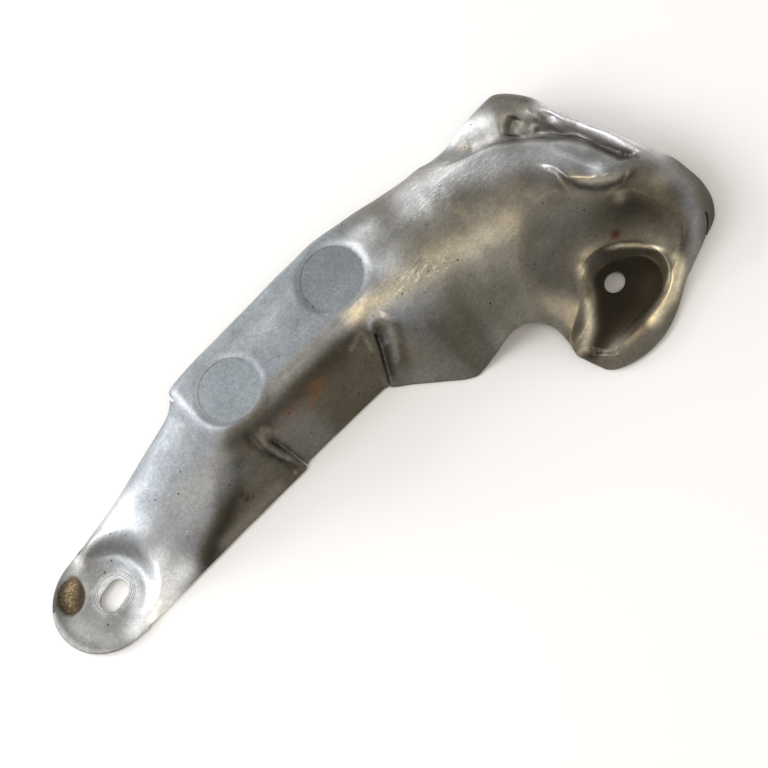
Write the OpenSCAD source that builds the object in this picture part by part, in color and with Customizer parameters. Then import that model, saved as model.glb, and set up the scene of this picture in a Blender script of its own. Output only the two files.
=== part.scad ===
// Pressed heat shield: one arched sheet with a slotted tab, a flat-topped middle
// with two coined pads, and an elbow-shaped head that ends in a bolt seat.
// Raw frame while it is built: x = 0 at the bend where the head begins, +x towards the head,
// y = 0 at the near foot of the middle, +y to the far side, z = 0 at the feet, in millimetres.

/* [Sheet] */
// Thickness of the sheet
sheet_t = 1.0; // [0.7:0.1:1.4]

/* [Lengths] */
// Slot centre line to the step, along the rounded lower arch
lower_len = 60; // [55:0.5:66]
// Step to the bend, along the flat-topped middle
flat_len = 61.5; // [58:0.5:66]

/* [Middle] */
// Foot to foot across the middle
middle_w = 44; // [41:0.5:47]
// Height of the flat top
top_h = 28; // [25:0.5:31]
// Inward lean of the near wall, foot to crest
near_lean = 10.5; // [9:0.5:12]
// Inward lean of the far wall, foot to crest
far_lean = 3.5; // [3:0.5:6]
// How far the near wall is hollowed below its crest
near_hollow = 1.6; // [0:0.2:2.4]

/* [Pads] */
// Diameter of each coined pad
pad_d = 20.8; // [18:0.2:22]
// Depth of the coined pads
pad_depth = 0.4; // [0.2:0.1:0.6]
// Distance between the two pads
pad_pitch = 47; // [44:0.5:48]

/* [Tab] */
// Radius of the rounded end of the tab
tab_r = 18; // [16:0.5:20]
// Width of the slot
slot_w = 7.8; // [6:0.2:9]
// Length of the slot over its round ends
slot_len = 11.4; // [10:0.2:13]
// Angle of the slot from the length of the shield
slot_turn = 12; // [0:2:40]
// Height of the dished tab seat
tab_seat_h = 1.6; // [1.4:0.1:2.4]
// Radius of the flat of the tab seat
tab_seat_r = 11.5; // [10:0.5:12.5]

/* [Head] */
// Height of the rim round the head
rim_h = 21; // [19:0.5:23]
// Height of the main arch where it enters the head
crown_h = 31; // [29:0.5:33]
// Depth of the valley between the arch and the rim
valley_depth = 8.5; // [6:0.5:9]
// Step of the lip that overhangs the seat side of the head
lip_step = 2.8; // [1.8:0.2:3.4]
// Diameter of the bolt hole
bolt_hole_d = 7; // [5.4:0.2:9]
// Height of the bolt seat
seat_h = 5; // [4:0.5:7]
// Height of the edge round the bolt seat
seat_rim_h = 10; // [9:0.5:12]

/* [Slits] */
// Width of a relief slit where it leaves the edge
slit_w = 0.6; // [0.5:0.1:1.2]
// Width of the rounded inner end of a relief slit
slit_end_w = 1.2; // [1:0.1:2.4]

/* [Hidden] */
x_step = -flat_len;
x_tab = x_step - lower_len;
head_len = 138;
end_skew = 1.3;

function clamp01(v) = min(max(v, 0), 1);
function ease(v) = let (c = clamp01(v)) c * c * (3 - 2 * c);
function bell(v) = exp(-v * v);
function mix(a, b, k) = a + (b - a) * k;
function unit(v) = v / norm(v);

// Smooth law through [station, value] knots: cubic pieces that never overshoot
function slope_at(k, i) =
    let (last = len(k) - 1)
    i == 0 ? (k[1][1] - k[0][1]) / (k[1][0] - k[0][0])
    : i == last ? (k[last][1] - k[last - 1][1]) / (k[last][0] - k[last - 1][0])
    : let (
        a = (k[i][1] - k[i - 1][1]) / (k[i][0] - k[i - 1][0]),
        b = (k[i + 1][1] - k[i][1]) / (k[i + 1][0] - k[i][0])
    )
    a * b <= 0 ? 0 : 2 * a * b / (a + b);
function knot_below(k, s, i = 0) = i >= len(k) - 2 || s < k[i + 1][0] ? i : knot_below(k, s, i + 1);
function law(k, s_in) =
    let (
        s = min(max(s_in, k[0][0]), k[len(k) - 1][0]),
        i = knot_below(k, s),
        h = k[i + 1][0] - k[i][0],
        f = (s - k[i][0]) / h
    )
    (2 * f^3 - 3 * f^2 + 1) * k[i][1] + (f^3 - 2 * f^2 + f) * h * slope_at(k, i)
    + (3 * f^2 - 2 * f^3) * k[i + 1][1] + (f^3 - f^2) * h * slope_at(k, i + 1);

// Plan of the far foot and the near foot against the station
far_x = [[x_tab, x_tab], [0, 0], [14, 16], [26, 29], [38, 42], [48, 52], [60, 64], [72, 76], [82, 84.5],
    [92, 90], [102, 96.5], [112, 102], [118, 102.4], [122, 101.4], [126, 97], [130, 89.5], [head_len, 79.5]];
far_y = [[x_tab, 33.8], [x_tab + 10, 35.4], [x_tab + 20, 37.4], [x_step - 25, 39.2],
    [x_step - 8, 41.2], [x_step - 1.5, 41.6], [x_step + 1, middle_w - 0.6], [x_step + 8, middle_w],
    [0, middle_w + 0.5], [14, 43.5], [26, 41.5], [38, 40.5], [48, 40], [60, 39.5], [72, 39],
    [82, 30], [92, 13], [102, -3], [112, -17.5], [122, -32], [126, -39.5], [130, -42.6],
    [head_len, -46.8]];
near_x = [[x_tab, x_tab], [0, 0], [12, 10], [26, 19], [38, 27], [48, 32.5], [60, 36], [72, 37.6], [92, 37.3],
    [112, 36.5], [130, 38], [head_len, 39.2]];
near_y = [[x_tab, -1.2], [x_step, -1.2], [x_step + 11.5, -1.3], [x_step + 14.5, 0], [-14, -0.6],
    [-10.5, -3.4], [-7, -6], [1, -12.8], [9, -19], [13, -20.5], [26, -21], [38, -22.5],
    [48, -25], [60, -29], [72, -33], [92, -38], [112, -42], [130, -46], [head_len, -48]];
near_z = [[x_tab, 0], [12, 0], [26, 3], [38, 9], [48, 11], [60, 11], [72, 10], [92, 8.5], [112, 6], [130, 2],
    [head_len, 0]];
// Crests: how far in from the foot, how high, and how round
far_in = [[x_tab, 1.6], [x_tab + 14, 3.2], [x_tab + 22, 5], [x_step - 25, 6], [x_step - 6, 5],
    [x_step + 1, far_lean], [0, far_lean], [26, 5], [38, 6], [60, 4], [72, 3.4], [100, 3.4],
    [112, 5.5], [124, 5], [head_len, 3]];
far_h = [[x_tab, 2], [x_tab + 14, 7], [x_tab + 24, 12], [x_step - 25, 18], [x_step - 8, 22.5],
    [x_step, 24.5], [x_step + 8, 25.5], [x_step + 15, top_h], [0, top_h], [14, top_h],
    [38, 27], [46, 23], [54, rim_h], [102, rim_h], [122, 14], [131, 8], [head_len, 0.6]];
near_in = [[x_tab, 1.6], [x_tab + 20, 8], [x_step - 25, 10], [x_step - 6, 11], [x_step + 2, near_lean],
    [-14, near_lean + 0.6], [-7, near_lean + 6], [1, near_lean + 12.5],
    [9, 25], [26, 22], [60, 21], [82, 22], [92, 22], [112, 18], [130, 8], [head_len, 4]];
near_h = [[x_tab, 2], [x_tab + 14, 5], [x_tab + 24, 10], [x_step - 25, 15], [x_step - 8, 20],
    [x_step, 22.5], [x_step + 8, 24.5], [x_step + 15, top_h], [0, top_h], [14, top_h],
    [38, crown_h - 1], [48, crown_h], [72, crown_h - 2], [92, 24], [112, 13], [131, 8], [head_len, 0.6]];
far_round = [[x_tab, 3], [x_tab + 22, 9], [x_step - 8, 9], [x_step + 2, 5.5], [0, 5], [14, 9], [38, 11],
    [48, 7], [60, 3.5], [100, 4], [112, 8], [124, 8], [head_len, 4]];
near_round = [[x_tab, 3], [x_tab + 22, 11], [x_step - 8, 11], [x_step + 2, 8], [-4, 8], [14, 16], [38, 16],
    [72, 14], [112, 8], [head_len, 4]];
crown = [[x_tab, 0], [x_tab + 22, 2], [x_step - 8, 2], [x_step + 2, 0], [8, 0], [22, 4], [38, 6],
    [48, 8], [72, 8], [92, 5], [112, 1], [head_len, 0]];
end_bow = [[x_tab, tab_r], [x_tab + 9.5, tab_r * 0.45], [x_tab + 20, 2], [x_tab + 28, 0], [112, 0], [122, 2],
    [130, 4.5], [head_len, 9.2]];

near_dip = [[x_step - 6, 0], [x_step + 5, near_hollow], [-14, near_hollow], [4, 0]];

// A section: plan ends, then the rounded four-corner profile between them.
// Each law is read once for a row.
function row_laws(s) = [
    [law(far_x, s), law(far_y, s)], [law(near_x, s), law(near_y, s)], law(near_z, s),
    law(far_in, s), law(far_h, s), law(near_in, s), law(near_h, s), law(far_round, s), law(near_round, s),
    law(crown, s), law(end_bow, s), law(near_dip, s)
];
function bend_point(a, c, b, f) = a * (1 - f)^2 + c * 2 * f * (1 - f) + b * f^2;
function profile(r, span, stretch, f) =
    let (
        p0 = [0, 0],
        p1 = [r[3], r[4]],
        p2 = [span - r[5], r[6]],
        p3 = [span, r[2]],
        n01 = norm(p1 - p0),
        n12 = norm(p2 - p1),
        n23 = norm(p3 - p2),
        r1 = min(r[7], 0.85 * n01, 0.48 * n12),
        r2 = min(r[8], 0.85 * n23, 0.48 * n12),
        a1 = p1 - (p1 - p0) / n01 * r1,
        b1 = p1 + (p2 - p1) / n12 * r1,
        a2 = p2 - (p2 - p1) / n12 * r2,
        b2 = p2 + (p3 - p2) / n23 * r2
    )
    stretch == 0 ? mix(p0, a1, f)
    : stretch == 1 ? bend_point(a1, p1, b1, f)
    : stretch == 2 ? mix(b1, a2, f)
    : stretch == 3 ? bend_point(a2, p2, b2, f)
    : bend_point(b2, (b2 + p3) / 2 + unit([p2[1] - p3[1], p3[0] - p2[0]]) * -2 * r[11], p3, f);
function base_point(r, s, t) =
    let (
        run = r[1] - r[0],
        span = norm(run),
        along = run / span,
        out = (s < 0 ? 1 : -1) * [along[1], -along[0]],
        q = profile(r, span, min(floor(t), 4), t - min(floor(t), 4)),
        w = q[0] / span,
        crest = clamp01((q[0] - r[3]) / (span - r[5] - r[3])),
        v = s < 0 ? w : w^end_skew,
        bulge = mix(4 * v * (1 - v), sqrt(max(0, 1 - (2 * v - 1)^2)), s < 0 ? 1 : w),
        plan = r[0] + along * q[0] + out * r[10] * bulge
    )
    [plan[0], plan[1], q[1] + r[9] * sin(180 * crest)^2, mix(r[4], r[6], crest)];

// Distance from a point to a stretch of a path, and how far along it
function stretch_gap(p, a, b) =
    let (k = clamp01((p - a) * (b - a) / ((b - a) * (b - a)))) [norm(p - mix(a, b, k)), k];
function path_gap(p, path) =
    let (
        all = [for (i = [0 : len(path) - 2]) let (g = stretch_gap(p, path[i], path[i + 1])) [g[0], i + g[1]]],
        least = min([for (g = all) g[0]])
    )
    [for (g = all) if (g[0] == least) g][0];
function round_min(a, b, k) = let (h = clamp01(0.5 + 0.5 * (b - a) / k)) mix(b, a, h) - k * h * (1 - h);

pads = [[-pad_pitch - 0.2, 23.4], [-0.2, 25.8]];
pad_land = 0.4;
pad_blend = 3;
plateau_r = 14.5;
plateau_wall = 7.5;
plateau_start = x_step - 12;
plateau_end = x_step + 15;
head_start = 40;
slot_at = [x_tab + 3, 14.5];
tab_dish_at = slot_at + [-0.3, 1.4];
tab_wall = 7;
tab_edge_drop = 0.9;
bolt_at = [60.7, -33.3];
seat_flat_r = 6.4;
seat_deep_at = [64.5, -38.5];
seat_deep_r = 9;
channel_end = [42.5, -43];
channel_r = 3.6;
seat_wall = 4;
seat_slope = 0.35;
seat_bowl = 0.085;
apron_blend = 12;
valley = [[43, 34], [53, 29], [63, 24.5], [72, 18.5], [79, 13.5], [85, 7], [88.4, -2], [91, -10], [96, -17]];
valley_depths = [[0, 0], [1.5, 1], [4, 1], [5.5, 0.7], [7, 0.6], [8, 0]];
valley_far_widths = [[0, 6], [3, 7], [4.5, 2.6], [8, 2]];
valley_near_widths = [[0, 4], [4, 4], [5.5, 4], [8, 3]];
slit_below = 2;
// Relief slits: place of the foot, way the wall faces, lean, length, and reach through the wall
slits = [
    [[x_step + 14.8, 3], 0, -7, top_h - 10.2, 18],
    [[-12.2, 0], 0, 23, top_h - 4.6, 28],
    [[x_step - 0.9, middle_w - 2], 0, 0, top_h + 1, 14],
    [[88.3, -43], 36, 50, 11, 6]
];
lip = [[68, 5], [72, -3.5], [72, -9], [76.5, -14], [83, -16.5], [90, -15.5]];

function tab_seat(p) =
    let (
        gap = norm([p.x, p.y] - tab_dish_at),
        outer = 1 - ease((p.x - tab_dish_at.x + 4) / 12),
        drop = tab_edge_drop * outer * ease((gap - tab_seat_r) / (tab_r - tab_seat_r)),
        k = max(outer, 1 - ease((gap - tab_seat_r) / tab_wall))
    )
    [p.x, p.y, mix(p.z, tab_seat_h - drop, k)];
// The flat top ends in an edge that runs round the first pad
function plateau(p) =
    let (
        q = [p.x, p.y],
        gap = min(norm(q - pads[0]) - plateau_r, max(x_step - p.x, pads[0][1] - p.y)),
        k = 1 - ease((gap + 2.5) / plateau_wall)
    )
    [p.x, p.y, p.z * mix(1, top_h / p[3], k)];
// The pads press the sheet flat round them
function pad_flats(p) =
    let (gap = min([for (at = pads) norm([p.x, p.y] - at)]) - pad_d / 2 - pad_land)
    [p.x, p.y, mix(p.z, top_h, 1 - ease(gap / pad_blend))];
function head_valley(p) =
    let (
        q = [p.x, p.y],
        g = path_gap(q, valley),
        i = min(floor(g[1]), len(valley) - 2),
        depth = valley_depth * lookup(g[1], valley_depths),
        wide = lookup(g[1], side_of(q, valley[i], valley[i + 1]) > 0 ? valley_far_widths : valley_near_widths)
    )
    [p.x, p.y, p.z - depth * bell(g[0] / wide)];
function side_of(p, a, b) = sign((b - a).x * (p - a).y - (b - a).y * (p - a).x);
function head_lip(p) =
    let (
        q = [p.x, p.y],
        g = path_gap(q, lip),
        i = min(floor(g[1]), len(lip) - 2),
        signed = g[0] * side_of(q, lip[i], lip[i + 1]),
        ends = ease(g[1]) * ease(len(lip) - 1 - g[1])
    )
    [p.x, p.y, p.z + lip_step * ends * ease((signed + 1.5) / 3) * bell(signed / 9)];
function bolt_seat(p) =
    let (
        q = [p.x, p.y],
        g = stretch_gap(q, seat_deep_at, channel_end),
        gap = round_min(norm(q - bolt_at) - seat_flat_r, g[0] - mix(seat_deep_r, channel_r, g[1]), 3),
        beyond = max(gap, 0) - seat_wall,
        apron = round_min(p.z, seat_rim_h + seat_slope * beyond + seat_bowl * beyond^2, apron_blend),
        k = 1 - ease(gap / seat_wall)
    )
    [p.x, p.y, mix(apron, min(seat_h, apron), k)];
function skin_point(r, s, t) =
    s < plateau_start ? tab_seat(base_point(r, s, t))
    : s < plateau_end ? pad_flats(plateau(base_point(r, s, t)))
    : s > head_start ? bolt_seat(head_lip(head_valley(base_point(r, s, t))))
    : pad_flats(base_point(r, s, t));

// Rows along the shield and points across it: where each stretch starts, and its number of steps
row_stretches = [
    [x_tab, 16], [x_step - 6, 10], [plateau_end, 3], [-14, 13], [head_start, 41], [head_len, 0]
];
column_steps = [2, 4, 16, 4, 8];
function fan(a, b, n) = [for (i = [0 : n - 1]) a + (b - a) * i / n];
rows = [
    for (i = [0 : len(row_stretches) - 2])
        each fan(row_stretches[i][0], row_stretches[i + 1][0], row_stretches[i][1]),
    head_len
];
columns = [for (i = [0 : len(column_steps) - 1]) each fan(i, i + 1, column_steps[i]), len(column_steps)];
skin = [for (s = rows) let (r = row_laws(s)) [for (t = columns) skin_point(r, s, t)]];
last_row = len(rows) - 1;
last_col = len(columns) - 1;
// The shorter diagonal splits a facet pair
function splits(i, j) = norm(skin[i][j] - skin[i + 1][j + 1]) <= norm(skin[i + 1][j] - skin[i][j + 1]);
function skin_normal(i, j) =
    let (
        du = skin[min(i + 1, last_row)][j] - skin[max(i - 1, 0)][j],
        dv = skin[i][min(j + 1, last_col)] - skin[i][max(j - 1, 0)]
    )
    unit(cross(dv, du));
under = [for (i = [0 : last_row]) [for (j = [0 : last_col]) skin[i][j] - sheet_t * skin_normal(i, j)]];
low_x = min([for (r = skin) for (p = r) p.x]);
high_x = max([for (r = skin) for (p = r) p.x]);
low_y = min([for (r = skin) for (p = r) p.y]);
high_y = max([for (r = skin) for (p = r) p.y]);
low_z = min([for (r = under) for (p = r) p.z]);
frame_shift = [-(low_x + high_x) / 2, -(low_y + high_y) / 2, -low_z];

module sheet() {
    across = last_col + 1;
    size = across * (last_row + 1);
    function top(i, j) = i * across + j;
    function bottom(i, j) = size + i * across + j;
    polyhedron(
        points = concat([for (r = skin) each r], [for (r = under) each r]),
        faces = concat(
            [for (i = [0 : last_row - 1]) for (j = [0 : last_col - 1])
                each splits(i, j)
                    ? [[top(i, j), top(i + 1, j + 1), top(i, j + 1)],
                        [top(i, j), top(i + 1, j), top(i + 1, j + 1)]]
                    : [[top(i, j), top(i + 1, j), top(i, j + 1)],
                        [top(i + 1, j), top(i + 1, j + 1), top(i, j + 1)]]],
            [for (i = [0 : last_row - 1]) for (j = [0 : last_col - 1])
                each splits(i, j)
                    ? [[bottom(i, j), bottom(i, j + 1), bottom(i + 1, j + 1)],
                        [bottom(i, j), bottom(i + 1, j + 1), bottom(i + 1, j)]]
                    : [[bottom(i, j), bottom(i, j + 1), bottom(i + 1, j)],
                        [bottom(i + 1, j), bottom(i, j + 1), bottom(i + 1, j + 1)]]],
            [for (i = [0 : last_row - 1]) each [
                [top(i, 0), bottom(i + 1, 0), top(i + 1, 0)], [top(i, 0), bottom(i, 0), bottom(i + 1, 0)],
                [top(i, last_col), top(i + 1, last_col), bottom(i + 1, last_col)],
                [top(i, last_col), bottom(i + 1, last_col), bottom(i, last_col)]]],
            [for (j = [0 : last_col - 1]) each [
                [top(0, j), top(0, j + 1), bottom(0, j + 1)], [top(0, j), bottom(0, j + 1), bottom(0, j)],
                [top(last_row, j), bottom(last_row, j + 1), top(last_row, j + 1)],
                [top(last_row, j), bottom(last_row, j), bottom(last_row, j + 1)]]]
        )
    );
}

module slot_cut() {
    translate([slot_at.x, slot_at.y, -1])
        rotate(slot_turn)
            union() {
                for (k = [-1, 1])
                    translate([k * (slot_len - slot_w) / 2, 0, 0]) cylinder(d = slot_w, h = 8, $fn = 48);
                translate([-(slot_len - slot_w) / 2, -slot_w / 2, 0]) cube([slot_len - slot_w, slot_w, 8]);
            }
}

// A relief slit in a wall that faces the given way: narrow at the foot, rounded and wider at its inner end
module slit(at, facing, lean, long, reach) {
    translate([at.x, at.y, -slit_below])
        rotate([90, 0, facing])
            rotate(-lean)
                linear_extrude(reach, center = true) {
                    polygon([
                        [-slit_w / 2, 0], [slit_w / 2, 0], [slit_end_w / 2, long], [-slit_end_w / 2, long]
                    ]);
                    translate([0, long]) circle(d = slit_end_w, $fn = 32);
                }
}

module pad_recess(at) {
    translate([at.x, at.y, top_h - pad_depth]) cylinder(d = pad_d, h = 3, $fn = 96);
}

module pad_boss(at) {
    translate([at.x, at.y, top_h - sheet_t - pad_depth])
        cylinder(d = pad_d, h = sheet_t / 2 + pad_depth, $fn = 96);
}

module heat_shield() {
    color("silver")
        translate(frame_shift)
            difference() {
                union() {
                    sheet();
                    for (at = pads) pad_boss(at);
                }
                for (at = pads) pad_recess(at);
                translate([bolt_at.x, bolt_at.y, -1]) cylinder(d = bolt_hole_d, h = 12, $fn = 64);
                slot_cut();
                for (cut = slits) slit(cut[0], cut[1], cut[2], cut[3], cut[4]);
            }
}

heat_shield();
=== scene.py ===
"""Looks of a pressed heat shield: the sheet in fine relief, its worn metal with painted highlights and
shade, a pale floor and soft light.

Shape numbers are millimetres in the sheet's own drawing frame: x = 0 at the bend where the head
begins, y = 0 at the near foot of the middle, z = 0 at the feet. to_frame() turns them into the
part's frame in metres. A place on the sheet is also given as (x, v), where v is the height seen
across the photograph's line of sight. Turns and leans are in degrees.
"""
import math

import bpy
import numpy as np
from mathutils import Matrix, Vector


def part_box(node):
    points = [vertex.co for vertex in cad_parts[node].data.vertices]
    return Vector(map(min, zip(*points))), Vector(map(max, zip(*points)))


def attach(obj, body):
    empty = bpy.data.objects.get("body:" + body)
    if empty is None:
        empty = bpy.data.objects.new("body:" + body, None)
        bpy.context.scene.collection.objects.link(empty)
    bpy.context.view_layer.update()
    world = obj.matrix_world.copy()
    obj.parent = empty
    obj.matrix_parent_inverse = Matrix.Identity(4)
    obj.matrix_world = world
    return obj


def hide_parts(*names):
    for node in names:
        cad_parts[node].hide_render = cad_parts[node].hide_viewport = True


# Driving sizes, the same as the construction's
SHEET_T = 1.0
LOWER_LEN = 60.0
FLAT_LEN = 61.5
MIDDLE_W = 44.0
TOP_H = 28.0
NEAR_LEAN = 10.5
FAR_LEAN = 3.5
NEAR_HOLLOW = 1.6
PAD_D = 20.8
PAD_DEPTH = 0.4
PAD_PITCH = 47.0
TAB_R = 18.0
SLOT_W = 7.8
SLOT_LEN = 11.4
SLOT_TURN = 12.0
TAB_SEAT_H = 1.6
TAB_SEAT_R = 11.5
RIM_H = 21.0
CROWN_H = 31.0
VALLEY_DEPTH = 8.5
LIP_STEP = 2.8
BOLT_HOLE_D = 7.0
SEAT_H = 5.0
SEAT_RIM_H = 10.0
SLIT_W = 0.6
SLIT_END_W = 1.2
HEAD_LEN = 138.0

# Places and sizes of the pressed forms
X_STEP = -FLAT_LEN
X_TAB = X_STEP - LOWER_LEN
PADS = ((-PAD_PITCH - 0.2, 23.4), (-0.2, 25.8))
PAD_LAND = 0.4
PAD_BLEND = 3.0
PLATEAU_R = 14.5
PLATEAU_INSET = 2.5
PLATEAU_WALL = 7.5
PLATEAU_START = X_STEP - 12
PLATEAU_END = X_STEP + 15
HEAD_START = 40.0
SLOT_AT = (X_TAB + 3, 14.5)
TAB_DISH_AT = (SLOT_AT[0] - 0.3, SLOT_AT[1] + 1.4)
TAB_WALL = 7.0
TAB_EDGE_DROP = 0.9
TAB_OUTER_START = -4.0
TAB_OUTER_RUN = 12.0
TAB_UPRIGHT_RUN = 6.0
BOLT_AT = (60.7, -33.3)
SEAT_FLAT_R = 6.4
SEAT_DEEP_AT = (64.5, -38.5)
SEAT_DEEP_R = 9.0
CHANNEL_END = (42.5, -43.0)
CHANNEL_R = 3.6
SEAT_BLEND = 3.0
SEAT_WALL = 4.0
SEAT_SLOPE = 0.35
SEAT_BOWL = 0.085
APRON_BLEND = 12.0
VALLEY = ((43, 34), (53, 29), (63, 24.5), (72, 18.5), (79, 13.5), (85, 7), (88.4, -2), (91, -10), (96, -17))
VALLEY_DEPTHS = ((0, 1.5, 4, 5.5, 7, 8), (0, 1, 1, 0.7, 0.6, 0))
VALLEY_FAR_WIDTHS = ((0, 3, 4.5, 8), (6, 7, 2.6, 2))
VALLEY_NEAR_WIDTHS = ((0, 4, 5.5, 8), (4, 4, 4, 3))
LIP_RISE_W = 2.6
LIP_REACH = 9.0
LIP_LOW_SHARE = 0.8
LIP_BEAD = 0.6
LIP_BEAD_AT = 2.2
LIP_BEAD_W = 1.6
LIP_CREASE = 0.7
LIP_CREASE_AT = -1.9
LIP_CREASE_W = 1.4
LIP = ((68, 5), (72, -3.5), (72, -9), (76.5, -14), (83, -16.5), (90, -15.5))

# Laws against the station: plan of the two feet, height of the near foot, crests, rounding, crown,
# end bow and the hollow in the near wall
FAR_X = (
    (X_TAB, X_TAB), (0, 0), (14, 16), (26, 29), (38, 42), (48, 52), (60, 64), (72, 76), (82, 84.5),
    (92, 90), (102, 96.5), (112, 102), (118, 102.4), (122, 101.4), (126, 97), (130, 89.5),
    (HEAD_LEN, 79.5))
FAR_Y = (
    (X_TAB, 33.8), (X_TAB + 10, 35.4), (X_TAB + 20, 37.4), (X_STEP - 25, 39.2), (X_STEP - 8, 41.2),
    (X_STEP - 1.5, 41.6), (X_STEP + 1, MIDDLE_W - 0.6), (X_STEP + 8, MIDDLE_W), (0, MIDDLE_W + 0.5),
    (14, 43.5), (26, 41.5), (38, 40.5), (48, 40), (60, 39.5), (72, 39), (82, 30), (92, 13), (102, -3),
    (112, -17.5), (122, -32), (126, -39.5), (130, -42.6), (HEAD_LEN, -46.8))
NEAR_X = (
    (X_TAB, X_TAB), (0, 0), (12, 10), (26, 19), (38, 27), (48, 32.5), (60, 36), (72, 37.6), (92, 37.3),
    (112, 36.5), (130, 38), (HEAD_LEN, 39.2))
NEAR_Y = (
    (X_TAB, -1.2), (X_STEP, -1.2), (X_STEP + 11.5, -1.3), (X_STEP + 14.5, 0), (-14, -0.6), (-10.5, -3.4),
    (-7, -6), (1, -12.8), (9, -19), (13, -20.5), (26, -21), (38, -22.5), (48, -25), (60, -29), (72, -33),
    (92, -38), (112, -42), (130, -46), (HEAD_LEN, -48))
NEAR_Z = (
    (X_TAB, 0), (12, 0), (26, 3), (38, 9), (48, 11), (60, 11), (72, 10), (92, 8.5), (112, 6), (130, 2),
    (HEAD_LEN, 0))
FAR_IN = (
    (X_TAB, 1.6), (X_TAB + 14, 3.2), (X_TAB + 22, 5), (X_STEP - 25, 6), (X_STEP - 6, 5),
    (X_STEP + 1, FAR_LEAN), (0, FAR_LEAN), (26, 5), (38, 6), (60, 4), (72, 3.4), (100, 3.4), (112, 5.5),
    (124, 5), (HEAD_LEN, 3))
FAR_H = (
    (X_TAB, 2), (X_TAB + 14, 7), (X_TAB + 24, 12), (X_STEP - 25, 18), (X_STEP - 8, 22.5), (X_STEP, 24.5),
    (X_STEP + 8, 25.5), (X_STEP + 15, TOP_H), (0, TOP_H), (14, TOP_H), (38, 27), (46, 23), (54, RIM_H),
    (102, RIM_H), (122, 14), (131, 8), (HEAD_LEN, 0.6))
NEAR_IN = (
    (X_TAB, 1.6), (X_TAB + 20, 8), (X_STEP - 25, 10), (X_STEP - 6, 11), (X_STEP + 2, NEAR_LEAN),
    (-14, NEAR_LEAN + 0.6), (-7, NEAR_LEAN + 6), (1, NEAR_LEAN + 12.5), (9, 25), (26, 22), (60, 21),
    (82, 22), (92, 22), (112, 18), (130, 8), (HEAD_LEN, 4))
NEAR_H = (
    (X_TAB, 2), (X_TAB + 14, 5), (X_TAB + 24, 10), (X_STEP - 25, 15), (X_STEP - 8, 20), (X_STEP, 22.5),
    (X_STEP + 8, 24.5), (X_STEP + 15, TOP_H), (0, TOP_H), (14, TOP_H), (38, CROWN_H - 1), (48, CROWN_H),
    (72, CROWN_H - 2), (92, 24), (112, 13), (131, 8), (HEAD_LEN, 0.6))
FAR_ROUND = (
    (X_TAB, 3), (X_TAB + 22, 9), (X_STEP - 8, 9), (X_STEP + 2, 5.5), (0, 5), (14, 9), (38, 11), (48, 7),
    (60, 3.5), (100, 4), (112, 8), (124, 8), (HEAD_LEN, 4))
NEAR_ROUND = (
    (X_TAB, 3), (X_TAB + 22, 11), (X_STEP - 8, 11), (X_STEP + 2, 8), (-4, 8), (14, 16), (38, 16),
    (72, 14), (112, 8), (HEAD_LEN, 4))
CROWN = (
    (X_TAB, 0), (X_TAB + 22, 2), (X_STEP - 8, 2), (X_STEP + 2, 0), (8, 0), (22, 4), (38, 6), (48, 8),
    (72, 8), (92, 5), (112, 1), (HEAD_LEN, 0))
END_BOW = (
    (X_TAB, TAB_R), (X_TAB + 9.5, TAB_R * 0.45), (X_TAB + 20, 2), (X_TAB + 28, 0), (112, 0), (122, 2),
    (130, 4.5), (HEAD_LEN, 9.2))
NEAR_DIP = ((X_STEP - 6, 0), (X_STEP + 5, NEAR_HOLLOW), (-14, NEAR_HOLLOW), (4, 0))

# Most of a side and of the top that a rounding may take, and how strongly the end bow leans aside
SIDE_SHARE = 0.85
TOP_SHARE = 0.48
END_SKEW = 1.3

# The drawing frame's origin in the part's frame
PART_SHIFT = (18.5648, 6.10587, 0.786465)

# Slits: name, foot (x, y), the way it faces, lean, length, and how deep its cutter reaches
SLITS = (
    ("cut_slit_1", (X_STEP + 14.8, 3), 0, -7, 17.8, 18),
    ("cut_slit_2", (-12.2, 0), 0, 23, 23.4, 28),
    ("cut_slit_far", (X_STEP - 0.9, 42), 0, 0, 29, 14),
    ("cut_slit_end", (88.3, -43), 36, 50, 11, 6),
)
SLIT_FOOT_Z = -2.0

# Lowest and highest point of the other cutters, and how much wider a pad's cutter is at its top
BOLT_CUT = (-1, 12)
SLOT_CUT = (-1, 8)
PAD_CUT_TOP = 2.0
PAD_FLARE = 0.05

# Soft shoulder round the coined pads, where the sheet is level
PAD_SHOULDER = 0.28
PAD_SHOULDER_W = 2.2
SHOULDER_LEVEL = (0.9, 0.08)

# The dent in the tab: its middle in (x, v), half lengths and turn; its depth; the share that is its floor
DENT = ((-129.0, 22.4), 6.9, 5.6, 45)
DENT_DEPTH = 0.9
DENT_FLOOR = 0.5

# Share of its first and of its last stretch over which a relief fades out
RELIEF_RUN_OUT = 0.35

# Relief comes in as the sheet turns to the line of sight: the sight's slope, and a start and a run
SIGHT_RISE = 0.89
SIGHT_RUN = 0.45
SEEN = (0.05, 0.65)

# The sheet's slight waves: height, lengths, sway and phase; and the level top that has none
BROAD_WAVE = 0.07
BROAD_LENGTHS = (5.3, 6.1, 4.7)
BROAD_SWAY = 0.8
BROAD_PHASE = 1.3
FINE_WAVE = 0.05
FINE_LENGTHS = (2.9, 3.7)
FLAT_FROM = X_STEP - 3
FLAT_TO = 12.0
FLAT_LEVEL = 0.97

# Paths that the relief and the paint share
LAST_FOLD = ((95.8, -32), (91.4, -34.9), (88.2, -38.4))
GUSSET_HOLLOW = ((76, 30), (72.5, 28.4), (70.4, 26.6))

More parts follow.
